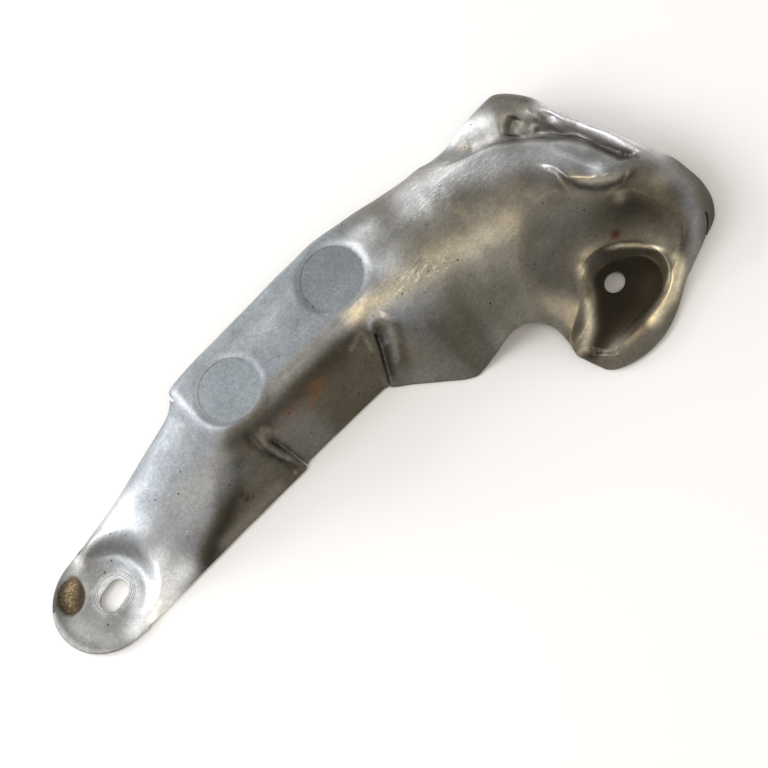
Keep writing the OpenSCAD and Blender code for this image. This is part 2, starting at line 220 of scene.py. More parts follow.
# Fine relief: a name for what it is, the path in (x, v), how far it stands out, its half width
RELIEF = (
    ("groove round the first slit",
     ((-50.6, 21), (-53.5, 16.6), (-53.3, 9.7), (-51.5, 3.9), (-50, -0.5)), -1.1, 1.3),
    ("lip round the first slit",
     ((-46, 14), (-47.4, 16.4), (-50.4, 16.2), (-51.6, 13), (-51.2, 8.1), (-49.4, 2.6)), 0.9, 1.1),
    ("fold at the first slit", ((-49.3, 12.2), (-48, 6)), -1.1, 1),
    ("bead over the second slit",
     ((-3.4, 13.5), (-1, 16.2), (2, 15.4), (2.8, 11), (-0.4, 5.3), (-4.5, 0)), 0.8, 1.2),
    ("hollow at the second slit", ((-2.6, 12.4), (-3.2, 8)), -0.9, 1.2),
    ("upper edge of the rim groove", ((83.6, 20.2), (87.3, 9.4), (92.2, -1.1), (94.9, -5.2)), 0.6, 1.1),
    ("floor of the rim groove",
     ((82.6, 24), (84.2, 17), (86.8, 9), (90.2, -1), (92.4, -4.6)), -1.1, 1.2),
    ("lower edge of the rim groove",
     ((78.2, 19.5), (81.5, 14), (84.6, 9.6), (86, 3.6), (87.8, -2.6), (94, -8)), 0.7, 1.2),
    ("slope beside the rim groove", ((76.7, 17), (80.8, 8), (83.8, -1)), -1, 1.8),
    ("pillow above the lip", ((75, 9), (78.8, 2.8), (81.6, -1)), 0.7, 2.4),
    ("fold by the last slit", LAST_FOLD, -0.8, 1),
    ("first arm of the gusset", ((80.4, 29.4), (79.4, 23.6)), 0.8, 1),
    ("second arm of the gusset", ((79.4, 23.6), (75.5, 22.8), (72.2, 23.8)), 0.8, 1),
    ("hollow behind the gusset", GUSSET_HOLLOW, -1.6, 1.9),
    ("hollow in front of the gusset", ((83.4, 25.8), (82, 20.5)), -1, 1.3),
    ("crimp below the bolt seat", ((39.6, -39.4), (43, -42.4), (45.6, -45.4)), 0.5, 0.8),
    ("second wave of the crown", ((66, 9), (72, 20)), -0.5, 4),
)

# Fine grid, the rounding of the cut edge and the angle from which an edge is sharp
STATION_PITCHES = ((X_TAB, 1.2), (X_TAB + 18, 2.0), (X_STEP - 5, 0.9), (-34, 2.0), (-14, 0.9), (13, 1.5),
                   (HEAD_START, 0.58), (HEAD_LEN, 0))
COLUMN_COUNTS = (10, 12, 90, 16, 32)
EDGE_ROUND = 0.18
SHARP_ANGLE = 50.0

# The photograph's line of sight and picture; SIGHT_ZERO sets where v is 0
SIGHT_ELEVATION = 63.0
SIGHT_ROLL = 45.0
SIGHT_POINT = (-12.0, -6.35, 14.0)
SIGHT_ZERO = 0.7
SIGHT_DISTANCE = 2000.0
MM_PER_PIXEL = 0.31
PICTURE_PIXELS = 768
SENSOR_WIDTH = 36.0

# Lamp panels: name, place, size, power and colour; then the world and the floor
LIGHTS = (
    ("window", (-0.62, 1.00, 0.45), (0.6, 0.6), 9.0, (1, 1, 1)),
    ("left", (-0.95, 0.35, 1.00), (0.9, 0.9), 9.0, (1, 1, 1)),
    ("warm", (0.20, -1.30, 2.30), (0.6, 0.6), 14.0, (1, 0.86, 0.64)),
)
WORLD_STRENGTH = 0.55
FLOOR_SIZE = 6.0
FLOOR_COLOUR = (0.9, 0.9, 0.9, 1)


# Keeps a division or a logarithm off zero
TINY = 1e-9


def ease(v):
    c = np.clip(v, 0, 1)
    return c * c * (3 - 2 * c)


def rise(v, start, run):
    """0 up to the start, 1 beyond the run, and smooth between them."""
    return ease((v - start) / run)


def fall(v, start, run):
    return 1 - rise(v, start, run)


def bell(v):
    return np.exp(-v * v)


def mix(a, b, k):
    return a + (b - a) * k


def round_min(a, b, k):
    h = np.clip(0.5 + 0.5 * (b - a) / k, 0, 1)
    return mix(b, a, h) - k * h * (1 - h)


def law(knots, s):
    """Smooth law through (station, value) knots that never overshoots."""
    k = np.array(knots, float)
    x, y = k[:, 0], k[:, 1]
    rate = np.diff(y) / np.diff(x)
    slope = np.empty(len(k))
    slope[0], slope[-1] = rate[0], rate[-1]
    same = rate[:-1] * rate[1:] > 0
    both = np.where(same, rate[:-1] + rate[1:], 1.0)
    slope[1:-1] = np.where(same, 2 * rate[:-1] * rate[1:] / both, 0.0)
    s = np.clip(s, x[0], x[-1])
    i = np.clip(np.searchsorted(x, s, side="right") - 1, 0, len(x) - 2)
    h = x[i + 1] - x[i]
    f = (s - x[i]) / h
    return ((2 * f**3 - 3 * f**2 + 1) * y[i] + (f**3 - 2 * f**2 + f) * h * slope[i]
            + (3 * f**2 - 2 * f**3) * y[i + 1] + (f**3 - f**2) * h * slope[i + 1])


def stretch_gap(x, y, a, b):
    ux, uy = b[0] - a[0], b[1] - a[1]
    k = np.clip(((x - a[0]) * ux + (y - a[1]) * uy) / (ux * ux + uy * uy), 0, 1)
    return np.hypot(x - a[0] - k * ux, y - a[1] - k * uy), k


def path_gap(x, y, path):
    """Distance to a path, how far along it (in stretches), and the side (+ on the left)."""
    best = np.full(np.shape(x), np.inf)
    along = np.zeros(np.shape(x))
    side = np.ones(np.shape(x))
    for i in range(len(path) - 1):
        a, b = path[i], path[i + 1]
        gap, k = stretch_gap(x, y, a, b)
        cross = (b[0] - a[0]) * (y - a[1]) - (b[1] - a[1]) * (x - a[0])
        nearer = gap < best
        best = np.where(nearer, gap, best)
        along = np.where(nearer, i + k, along)
        side = np.where(nearer, np.sign(cross), side)
    return best, along, side


def base_points(s, t):
    """The pressed form before its seats, valley and lip: s along the shield, t across it, 0 to 5."""
    far = np.stack([law(FAR_X, s), law(FAR_Y, s)], -1)
    near = np.stack([law(NEAR_X, s), law(NEAR_Y, s)], -1)
    run = near - far
    span = np.linalg.norm(run, axis=-1)
    along = run / span[..., None]
    out = np.stack([along[..., 1], -along[..., 0]], -1) * np.where(s < 0, 1, -1)[..., None]
    far_in, near_in = law(FAR_IN, s), law(NEAR_IN, s)
    corners = [np.zeros(np.shape(s) + (2,)), np.stack([far_in, law(FAR_H, s)], -1),
               np.stack([span - near_in, law(NEAR_H, s)], -1), np.stack([span, law(NEAR_Z, s)], -1)]
    edges = [corners[i + 1] - corners[i] for i in range(3)]
    longs = [np.linalg.norm(e, axis=-1) for e in edges]
    r1 = np.minimum(law(FAR_ROUND, s), np.minimum(SIDE_SHARE * longs[0], TOP_SHARE * longs[1]))
    r2 = np.minimum(law(NEAR_ROUND, s), np.minimum(SIDE_SHARE * longs[2], TOP_SHARE * longs[1]))
    a1 = corners[1] - edges[0] * (r1 / longs[0])[..., None]
    b1 = corners[1] + edges[1] * (r1 / longs[1])[..., None]
    a2 = corners[2] - edges[1] * (r2 / longs[1])[..., None]
    b2 = corners[2] + edges[2] * (r2 / longs[2])[..., None]
    stretch = np.minimum(np.floor(t), 4)
    f = (t - stretch)[..., None]

    def bend(a, c, b):
        return a * (1 - f)**2 + c * 2 * f * (1 - f) + b * f**2

    inward = np.stack([edges[2][..., 1], -edges[2][..., 0]], -1) / longs[2][..., None]
    hollow = (b2 + corners[3]) / 2 + 2 * inward * law(NEAR_DIP, s)[..., None]
    q = np.select([(stretch == i)[..., None] for i in range(5)],
                  [mix(corners[0], a1, f), bend(a1, corners[1], b1), mix(b1, a2, f),
                   bend(a2, corners[2], b2), bend(b2, hollow, corners[3])])
    across, height = q[..., 0], q[..., 1]
    w = across / span
    crest = np.clip((across - far_in) / (span - near_in - far_in), 0, 1)
    v = np.where(s < 0, w, np.clip(w, 0, 1)**END_SKEW)
    bulge = mix(4 * v * (1 - v), np.sqrt(np.clip(1 - (2 * v - 1)**2, 0, 1)), np.where(s < 0, 1, w))
    plan = far + along * across[..., None] + out * (law(END_BOW, s) * bulge)[..., None]
    top = mix(law(FAR_H, s), law(NEAR_H, s), crest)
    return plan[..., 0], plan[..., 1], height + law(CROWN, s) * np.sin(math.pi * crest)**2, top


def tab_seat(x, y, z):
    gap = np.hypot(x - TAB_DISH_AT[0], y - TAB_DISH_AT[1])
    outer = fall(x - TAB_DISH_AT[0], TAB_OUTER_START, TAB_OUTER_RUN)
    drop = TAB_EDGE_DROP * outer * rise(gap, TAB_SEAT_R, TAB_R - TAB_SEAT_R)
    k = np.maximum(outer, fall(gap, TAB_SEAT_R, TAB_WALL))
    return mix(z, TAB_SEAT_H - drop, k)


def plateau(x, y, z, crest):
    gap = np.minimum(np.hypot(x - PADS[0][0], y - PADS[0][1]) - PLATEAU_R,
                     np.maximum(X_STEP - x, PADS[0][1] - y))
    return z * mix(1, TOP_H / crest, fall(gap, -PLATEAU_INSET, PLATEAU_WALL))


def pad_flats(x, y, z):
    gap = np.min([np.hypot(x - px, y - py) for px, py in PADS], axis=0) - PAD_D / 2 - PAD_LAND
    return mix(z, TOP_H, fall(gap, 0, PAD_BLEND))


def head_valley(x, y, z):
    gap, along, side = path_gap(x, y, VALLEY)
    depth = VALLEY_DEPTH * np.interp(along, *VALLEY_DEPTHS)
    wide = np.where(side > 0, np.interp(along, *VALLEY_FAR_WIDTHS), np.interp(along, *VALLEY_NEAR_WIDTHS))
    return z - depth * bell(gap / wide)


def head_lip(x, y, z):
    gap, along, side = path_gap(x, y, LIP)
    signed = gap * side
    left = len(LIP) - 1 - along
    ends = ease(along) * ease(left)
    fold = ease(along - 1) * ease(left)
    step = LIP_STEP * rise(signed, -LIP_RISE_W / 2, LIP_RISE_W) * bell(signed / LIP_REACH)
    bead = LIP_BEAD * bell((signed - LIP_BEAD_AT) / LIP_BEAD_W)
    crease = LIP_CREASE * bell((signed - LIP_CREASE_AT) / LIP_CREASE_W)
    return z + ends * step * mix(LIP_LOW_SHARE, 1, fold) + fold * (bead - crease)


def seat_gap(x, y):
    """How far a point lies outside the floor of the bolt seat."""
    gap, along = stretch_gap(x, y, SEAT_DEEP_AT, CHANNEL_END)
    return round_min(np.hypot(x - BOLT_AT[0], y - BOLT_AT[1]) - SEAT_FLAT_R,
                     gap - mix(SEAT_DEEP_R, CHANNEL_R, along), SEAT_BLEND)


def bolt_seat(x, y, z):
    gap = seat_gap(x, y)
    beyond = np.maximum(gap, 0) - SEAT_WALL
    apron = round_min(z, SEAT_RIM_H + SEAT_SLOPE * beyond + SEAT_BOWL * beyond**2, APRON_BLEND)
    return mix(apron, np.minimum(SEAT_H, apron), fall(gap, 0, SEAT_WALL))


def skin_points(s, t):
    x, y, z, crest = base_points(s, t)
    z = np.where(s < PLATEAU_START, tab_seat(x, y, z), z)
    z = np.where((s >= PLATEAU_START) & (s < PLATEAU_END), plateau(x, y, z, crest), z)
    z = np.where((s >= PLATEAU_START) & (s <= HEAD_START), pad_flats(x, y, z), z)
    z = np.where(s > HEAD_START, bolt_seat(x, y, head_lip(x, y, head_valley(x, y, z))), z)
    return np.stack([x, y, z], -1)


def sight_height(p):
    """How high a point lies across the photograph's line of sight."""
    e = math.radians(SIGHT_ELEVATION)
    return p[..., 1] * math.sin(e) + p[..., 2] * math.cos(e) - SIGHT_ZERO


def normals_of(p):
    du = np.gradient(p, axis=0)
    dv = np.gradient(p, axis=1)
    n = np.cross(dv, du)
    return n / np.maximum(np.linalg.norm(n, axis=-1, keepdims=True), TINY)


def sheet_normals(p):
    """Normals of the skin, upright on the tab, whose corners have no clear normal of their own."""
    n = normals_of(p)
    n = mix(np.array((0.0, 0.0, 1.0)), n, rise(p[..., :1], X_TAB, TAB_UPRIGHT_RUN))
    return n / np.linalg.norm(n, axis=-1, keepdims=True)


def blob(x, v, at, rx, rv, turn=0.0):
    """A soft spot: 1 at its centre, falling off over its half widths."""
    a = math.radians(turn)
    dx, dv = x - at[0], v - at[1]
    p = (dx * math.cos(a) + dv * math.sin(a)) / rx
    q = (-dx * math.sin(a) + dv * math.cos(a)) / rv
    return np.exp(-(p * p + q * q))


def ellipse(x, v, at, rx, rv, turn=0.0):
    """0 at the centre and 1 on the ellipse."""
    return np.sqrt(-np.log(np.maximum(blob(x, v, at, rx, rv, turn), TINY)))


def sheet_waves(x, v):
    """The slight waves of handled sheet, a broad and a fine one."""
    a, b, c = BROAD_LENGTHS
    broad = BROAD_WAVE * np.sin(x / a + BROAD_SWAY * np.sin(v / b)) * np.sin(v / c + BROAD_PHASE)
    return broad, FINE_WAVE * np.sin(x / FINE_LENGTHS[0] + v / FINE_LENGTHS[1])


def fine_relief(p, n):
    """Adds the small grooves, beads and dents, and the slight waves of handled sheet."""
    x, v = p[..., 0], sight_height(p)
    seen = rise(n[..., 2] * SIGHT_RISE - n[..., 1] * SIGHT_RUN, *SEEN)
    out = np.zeros(x.shape)
    for _, path, height, half in RELIEF:
        gap, along, _ = path_gap(x, v, path)
        ends = ease(along / RELIEF_RUN_OUT) * ease((len(path) - 1 - along) / RELIEF_RUN_OUT)
        out += height * ends * bell(gap / half)
    out -= DENT_DEPTH * fall(ellipse(x, v, *DENT), DENT_FLOOR, 1 - DENT_FLOOR)
    out *= seen
    for wave in sheet_waves(x, v):
        out += wave
    flat = (x > FLAT_FROM) & (x < FLAT_TO) & (n[..., 2] > FLAT_LEVEL)
    out = np.where(flat, 0, out)
    for pad in PADS:
        gap = np.hypot(x - pad[0], p[..., 1] - pad[1]) - PAD_D / 2
        out -= PAD_SHOULDER * fall(gap, 0, PAD_SHOULDER_W) * rise(n[..., 2], *SHOULDER_LEVEL)
    return p + n * out[..., None]


def fine_grid():
    parts = [np.linspace(a, b, math.ceil((b - a) / pitch), endpoint=False)
             for (a, pitch), (b, _) in zip(STATION_PITCHES, STATION_PITCHES[1:])]
    stations = np.concatenate(parts + [[HEAD_LEN]])
    columns = np.concatenate([i + np.arange(c) / c for i, c in enumerate(COLUMN_COUNTS)] + [[5.0]])
    s, t = np.meshgrid(stations, columns, indexing="ij")
    p = skin_points(s, t)
    return fine_relief(p, sheet_normals(p))


def to_frame(p):
    return (np.asarray(p, float) + np.array(PART_SHIFT)) / 1000


def split_quads(a, b, c, d, normals):
    """Two triangles from each quad, parted along the diagonal whose ends face most alike."""
    alike = np.sum(normals[a] * normals[c], -1) >= np.sum(normals[b] * normals[d], -1)
    one = np.where(alike[:, None], np.stack([a, b, c], 1), np.stack([a, b, d], 1))
    two = np.where(alike[:, None], np.stack([a, c, d], 1), np.stack([b, c, d], 1))
    return np.concatenate([one, two])


def shell_mesh(name, skin, lowest, highest):
    """A closed sheet: outer skin, inner skin one thickness below it, and a slightly rounded cut edge."""
    n = sheet_normals(skin)
    rows, cols = skin.shape[:2]
    loop = ([(0, j) for j in range(cols)] + [(i, cols - 1) for i in range(1, rows)]
            + [(rows - 1, j) for j in range(cols - 2, -1, -1)] + [(i, 0) for i in range(rows - 2, 0, -1)])
    ring = np.array(loop)
    edge, edge_n = skin[ring[:, 0], ring[:, 1]].copy(), n[ring[:, 0], ring[:, 1]]
    inner = skin[np.clip(ring[:, 0], 1, rows - 2), np.clip(ring[:, 1], 1, cols - 2)]
    inward = inner - edge
    inward /= np.maximum(np.linalg.norm(inward, axis=1, keepdims=True), TINY)
    top = skin.copy()
    top[ring[:, 0], ring[:, 1]] = edge + inward * EDGE_ROUND
    under = top - SHEET_T * n
    upper_mid = edge - edge_n * EDGE_ROUND
    lower_mid = edge - edge_n * (SHEET_T - EDGE_ROUND)
    size = rows * cols
    verts = np.concatenate([top.reshape(-1, 3), under.reshape(-1, 3), upper_mid, lower_mid])
    i, j = np.meshgrid(np.arange(rows - 1), np.arange(cols - 1), indexing="ij")
    a = (i * cols + j).ravel()
    flat_n = n.reshape(-1, 3)
    faces = [split_quads(a, a + cols, a + cols + 1, a + 1, flat_n),
             split_quads(a, a + 1, a + cols + 1, a + cols, flat_n) + size]
    flat = ring[:, 0] * cols + ring[:, 1]
    after = np.roll(flat, -1)
    m = np.arange(len(ring))
    m2 = np.roll(m, -1)
    up, low = 2 * size, 2 * size + len(ring)
    for q in ((flat, after, up + m2, up + m), (up + m, up + m2, low + m2, low + m),
              (low + m, low + m2, size + after, size + flat)):
        faces += [np.stack([q[0], q[1], q[2]], 1), np.stack([q[0], q[2], q[3]], 1)]
    faces = np.concatenate(faces)
    verts = np.clip(to_frame(verts), np.array(lowest), np.array(highest))
    mesh = bpy.data.meshes.new(name)
    mesh.vertices.add(len(verts))
    mesh.vertices.foreach_set("co", verts.ravel())
    mesh.loops.add(faces.size)
    mesh.loops.foreach_set("vertex_index", faces.ravel().astype(np.int32))
    mesh.polygons.add(len(faces))
    mesh.polygons.foreach_set("loop_start", (np.arange(len(faces)) * 3).astype(np.int32))
    mesh.update(calc_edges=True)
    mesh.validate()
    return mesh


def add_object(name, data):
    ob = bpy.data.objects.new(name, data)
    bpy.context.scene.collection.objects.link(ob)
    return ob


def prism(name, outline, low, high, place, flare=0.0, material=None):
    """A tool: an outline in its own plane, drawn out from low to high and put in place by a matrix."""
    count = len(outline)
    points = [(x, y, low) for x, y in outline]
    points += [(x * (1 + flare), y * (1 + flare), high) for x, y in outline]
    faces = [tuple(range(count))[::-1], tuple(range(count, 2 * count))]
    faces += [(k, (k + 1) % count, count + (k + 1) % count, count + k) for k in range(count)]
    mesh = bpy.data.meshes.new(name)
    moved = [place @ Vector(p) for p in points]
    mesh.from_pydata([tuple(to_frame(tuple(p))) for p in moved], [], faces)
    if material is not None:
        mesh.materials.append(material)
    return add_object(name, mesh)


def ring_outline(diameter, count=96):
    r = diameter / 2
    turns = [2 * math.pi * k / count for k in range(count)]
    return [(r * math.cos(a), r * math.sin(a)) for a in turns]


def slot_outline(count=32):
    r, half = SLOT_W / 2, (SLOT_LEN - SLOT_W) / 2
    right = np.linspace(-math.pi / 2, math.pi / 2, count)
    left = np.linspace(math.pi / 2, 1.5 * math.pi, count)
    return ([(half + r * math.cos(a), r * math.sin(a)) for a in right]
            + [(-half + r * math.cos(a), r * math.sin(a)) for a in left])


def slit_outline(long, count=16):
    w, e = SLIT_W / 2, SLIT_END_W / 2
    top = [(e * math.cos(a), long + e * math.sin(a)) for a in np.linspace(0, math.pi, count)]
    return [(-w, 0), (w, 0)] + top


def slit_cutter(name, at, facing, lean, long, reach):
    place = (Matrix.Translation((*at, SLIT_FOOT_Z)) @ Matrix.Rotation(math.radians(facing), 4, "Z")
             @ Matrix.Rotation(math.radians(90), 4, "X") @ Matrix.Rotation(math.radians(-lean), 4, "Z"))
    return prism(name, slit_outline(long), -reach / 2, reach / 2, place)


def at_height(x, y, z=0.0, turn=0.0):
    return Matrix.Translation((x, y, z)) @ Matrix.Rotation(math.radians(turn), 4, "Z")


def pad_prisms(name, low, high, flare=0.0, material=None):
    return [prism(f"{name}_{i}", ring_outline(PAD_D), low, high, at_height(*pad, TOP_H), flare, material)
            for i, pad in enumerate(PADS)]


def cutters(lining):
    """Tools for the pads, whose floors get their own material, and for the holes and slits."""
    cuts = pad_prisms("cut_pad", -PAD_DEPTH, PAD_CUT_TOP, PAD_FLARE, lining)
    cuts.append(prism("cut_bolt_hole", ring_outline(BOLT_HOLE_D, count=64), *BOLT_CUT, at_height(*BOLT_AT)))
    cuts.append(prism("cut_slot", slot_outline(), *SLOT_CUT, at_height(*SLOT_AT, turn=SLOT_TURN)))
    return cuts + [slit_cutter(*slit) for slit in SLITS]


def bosses():
    """The undersides of the coined pads, pushed down by the coining."""
    return pad_prisms("boss", -SHEET_T - PAD_DEPTH, -SHEET_T / 2)


def cut_away(ob, others, operation):
    for other in others:
        mod = ob.modifiers.new(other.name, "BOOLEAN")
        mod.operation = operation
        mod.solver = "EXACT"
        mod.object = other
    bpy.context.view_layer.update()
    done = bpy.data.meshes.new_from_object(ob.evaluated_get(bpy.context.evaluated_depsgraph_get()))
    ob.modifiers.clear()
    ob.data = done
    for other in others:
        bpy.data.objects.remove(other)


# Tones of the metal and its stains, and of the highlights, glints, sheen and shade painted on it. Colours
# are linear
# painted reflection of a cool sky on the faces that look up
COOL_SKY_SHEEN = (0.325, 0.35, 0.378)
# painted glare and lamp spots
GLARE_WHITE = (0.80, 0.83, 0.86)
WARM_GREY = (0.20, 0.185, 0.155)
# painted sheen and highlights
PALE_SHEEN_GREY = (0.72, 0.73, 0.74)
# mostly painted sheen on sides and slopes
SOFT_GREY = (0.34, 0.34, 0.345)
# mostly painted shade
MID_GREY = (0.12, 0.12, 0.115)
# brown tarnish, which on the faces turned to the near side also stands in for shade
BROWN = (0.10, 0.087, 0.062)
# mostly painted shade in creases, grooves, hollows and the seat; also the dark crack
DARK_BROWN = (0.024, 0.018, 0.010)
# painted highlight on raised edges, lips, beads and the near shoulder
LIT_EDGE_BROWN = (0.22, 0.20, 0.165)
# painted warm glints
GOLD_GLINT = (0.50, 0.445, 0.34)
# painted bright glints
TAN_GLINT = (0.85, 0.74, 0.52)
RUST = (0.22, 0.085, 0.02)
DARK_RUST = (0.06, 0.017, 0.006)
# painted glare along the head's rim
RIM_GLARE_LILAC = (0.92, 0.90, 0.95)
PAD_GREY = (0.30, 0.33, 0.355)
# the second pad's grey, darkened as painted shade
SHADED_PAD_GREY = (0.245, 0.27, 0.29)
TAB_GREY = (0.27, 0.265, 0.25)
# painted highlights on the tab, and the paler disc round the slot
TAB_PALE = (0.92, 0.93, 0.94)
TAB_WALL_GREY = (0.13, 0.13, 0.125)
# painted shade on the seat's floor
SEAT_SHADE_BROWN = (0.05, 0.037, 0.019)
DENT_BROWN = (0.075, 0.054, 0.029)
DENT_GOLD = (0.21, 0.155, 0.085)
# painted shade on the dent's right side and edge
DENT_SHADE = (0.03, 0.022, 0.012)

# Roughness of the bare sheet, and its least and most
SHEET_ROUGH = 0.46
ROUGH_RANGE = (0.15, 0.9)

# Lengths along x and v of the three waves that make an uneven cover, and the first one's sway
COVER_WAVES = ((1.7, 1.3), (3.1, 0.9), (5.9, 2.3))
COVER_SWAY = 2.1


def patchy(x, v):
    """Uneven cover, between 0 and 1."""
    (ax, av), (bx, bv), (cx, cv) = COVER_WAVES
    waves = np.sin(x / ax + COVER_SWAY * np.sin(v / av)) + np.sin(x / bx - v / bv) + np.sin(v / cv + x / cx)
    return ease(0.5 + waves / 4)


def trail(x, v, path, half):
    return bell(path_gap(x, v, path)[0] / half)


def stroke(x, v, path, half):
    """A trail that fades out over its first and last stretch."""
    gap, along, _ = path_gap(x, v, path)
    return bell(gap / half) * ease(along) * ease(len(path) - 1 - along)


def patchy_stroke(x, v, path, half):
    return patchy(x, v) * stroke(x, v, path, half)


def band(x, v, start, end, foot):
    """A zone that comes in from start, fades at end and lies above foot: each a start and a run."""
    return rise(x, *start) * fall(x, *end) * rise(v, *foot)


# Marks on the metal, most of them painted highlights, glints, sheen and shade, in the order they are laid:
# what it is, tone, strength, kind, its place and size in (x, v), and the roughness where it changes
ARCH_LIGHT_AND_SHADE = (
    # painted shade along the arch's near foot, and a painted highlight on its near edge
    ("dark foot of the arch", DARK_BROWN, 0.85, trail, (((-92, -1), (-77, 4.5), (-68, 9), (-62, 15)), 2.8)),
    ("lit near edge", LIT_EDGE_BROWN, 0.7, trail, (((-82, 0), (-70, 0), (-58, 0.5)), 2)),
)
# Painted light on the lower arch and the tab: a light band, the sky's reflection on the crest, a highlight
# on the tab's far edge and glare; with grey patches and a rougher edge at the step
CREST_MARKS = (
    ("light on the arch", GLARE_WHITE, 0.2, band, ((-122, 8), (-68, 12), (7, 8)), 0.46),
    # painted reflection of the sky on the arch's crest
    ("cool crest of the arch", COOL_SKY_SHEEN, 0.9, band, ((-98, 8), (-66, 10), (20, 6)), 0.58),
    ("grey over the crest", MID_GREY, 0.2, band, ((-98, 8), (-66, 10), (20, 6))),
    ("grey cloud on the arch", MID_GREY, 0.18, blob, ((-95, 21), 7, 6)),
    # painted highlight on the tab's far edge
    ("pale far edge of the tab", TAB_PALE, 0.9, trail, (((-124, 30.5), (-115, 31.5)), 2), 0.5),
    ("soft edge of the step", SOFT_GREY, 0.8, trail, (((-65.7, 33.5), (-65.7, 28)), 1.3), 0.8),
    ("glare behind the tab", GLARE_WHITE, 0.9, blob, ((-101, 30.2), 8, 2.4, 12), 0.34),
)
# painted highlights on the tab's rims and on the wall by the slot
TAB_HIGHLIGHTS = (
    ("pale near rim", TAB_PALE, 0.85, trail,
     (((-99.8, 11.5), (-106.3, 5), (-112.4, 0.9), (-121, 1)), 3.2), 0.4),
    ("pale root of the near rim", TAB_PALE, 0.95, trail, (((-108, 0), (-102, 2.4), (-97, 3)), 3.6), 0.4),
    ("pale wall by the slot", TAB_PALE, 0.6, trail, (((-112, 16), (-112.6, 10), (-116, 4)), 2.4), 0.42),
)
TAB_SHADES = (
    ("shaded wall of the dish", TAB_WALL_GREY, 0.7, trail,
     (((-115, 28.6), (-109, 25.5), (-104.5, 17.5)), 3.2), 0.62),
    ("darker round end", MID_GREY, 0.5, trail, (((-134, 6), (-137, 13), (-136, 22), (-131, 29)), 3)),
)
# Painted shade under the near shoulder and in the slits' grooves, folds and hollows, painted highlights on
# their lips and beads, and rust
MIDDLE_MARKS = (
    ("dark line under the shoulder", DARK_BROWN, 0.6, trail,
     (((-58, 20), (-46, 17.5), (-30, 16.5), (-14, 16), (-6, 17.5)), 3.2)),
    ("rust on the near wall", RUST, 0.5, patchy_stroke,
     (((-50, 15.4), (-44, 14.4), (-34.6, 12.8), (-28, 14), (-22, 14)), 2.4)),
    ("dark groove of the first slit", DARK_BROWN, 0.6, trail,
     (((-54, 19), (-54.6, 15), (-52.9, 9.5), (-49.8, 1)), 1)),
    ("lit lip of the first slit", LIT_EDGE_BROWN, 0.7, trail,
     (((-46.4, 13.4), (-47.6, 16.2), (-50.6, 15.8), (-51.4, 12), (-49.2, 4)), 0.8)),
    ("dark fold at the first slit", DARK_BROWN, 0.95, trail, (((-49.3, 12), (-48, 7.4)), 1.3), 0.7),
    ("dark run of the first slit", DARK_BROWN, 0.8, trail, (((-48, 7.4), (-47, 1.5)), 0.8)),
    ("lit bead over the second slit", LIT_EDGE_BROWN, 0.6, trail,
     (((-11.8, 14.6), (-5.4, 16.8), (-7.2, 10.2)), 0.6)),
    ("dark hollow at the second slit", DARK_BROWN, 0.8, trail,
     (((-1.8, 13.4), (-3.2, 8.8), (-8, 0.5)), 1.1)),
    ("lit edge by the second slit", LIT_EDGE_BROWN, 0.5, trail,
     (((0.4, 16.4), (2.8, 12.4), (0.6, 6.2)), 0.9)),
)
# Painted shade at the bend, the crown, the grooves, folds and hollows; painted glints, glare and sheen on
# the crest, slopes, rim and above the lip
HEAD_LIGHT_AND_SHADE = (
    ("shade at the bend", MID_GREY, 0.75, blob, ((17.4, 32), 9, 5), 0.62),
    ("shade along the crown", MID_GREY, 0.5, blob, ((30, 29), 14, 4, -20)),
    ("gold crest", GOLD_GLINT, 0.85, trail, (((-3, 21.5), (14, 18.5), (32, 14.5), (50, 7)), 4), 0.36),
    # painted highlight on the far slope
    ("pale far slope", PALE_SHEEN_GREY, 0.9, trail, (((34, 35), (50, 32), (58, 27)), 5), 0.34),
    # painted sheen on the slopes into the valley
    ("soft slope before the valley", SOFT_GREY, 0.6, trail, (((58, 27), (70, 19)), 5), 0.36),
    ("soft slope in the valley", SOFT_GREY, 0.9, trail, (((74, 14), (80, 4), (86, -3)), 5), 0.34),
    ("glare on the far corner", GLARE_WHITE, 0.95, blob, ((60, 39.5), 10, 4.6, -25), 0.38),
    # painted glare along the rim
    ("pale rim", RIM_GLARE_LILAC, 0.9, trail,
     (((84, 26), (88.5, 15), (92, 6), (96.5, -3), (99, -9)), 3.2), 0.5),
    ("dark groove of the rim", MID_GREY, 0.8, trail,
     (((81.6, 26), (81.4, 18.2), (85, 8.6), (89.2, 0), (92.8, -5)), 1), 0.5),
    # painted sheen on the valley's bank and floor
    ("pale bank of the valley", PALE_SHEEN_GREY, 0.45, trail, (((62, 24), (70, 18), (76, 12)), 4.5)),
    ("pale floor of the valley", PALE_SHEEN_GREY, 0.5, trail, (((73, 22), (78, 16), (82, 8)), 2.5), 0.4),
    ("dark slope by the rim groove", MID_GREY, 0.3, stroke,
     (((75, 21.5), (76.7, 17.6), (80.8, 8.2), (83.8, -1.5), (85.5, -5)), 1.6)),
    ("lamp spot above the lip", GLARE_WHITE, 0.9, blob, ((81, 0.6), 2.4, 2.6), 0.36),
    ("dark fold by the last slit", DARK_BROWN, 0.75, trail, (LAST_FOLD, 0.8)),
    ("dark hollow behind the gusset", MID_GREY, 0.7, trail, (GUSSET_HOLLOW, 1.4)),
)
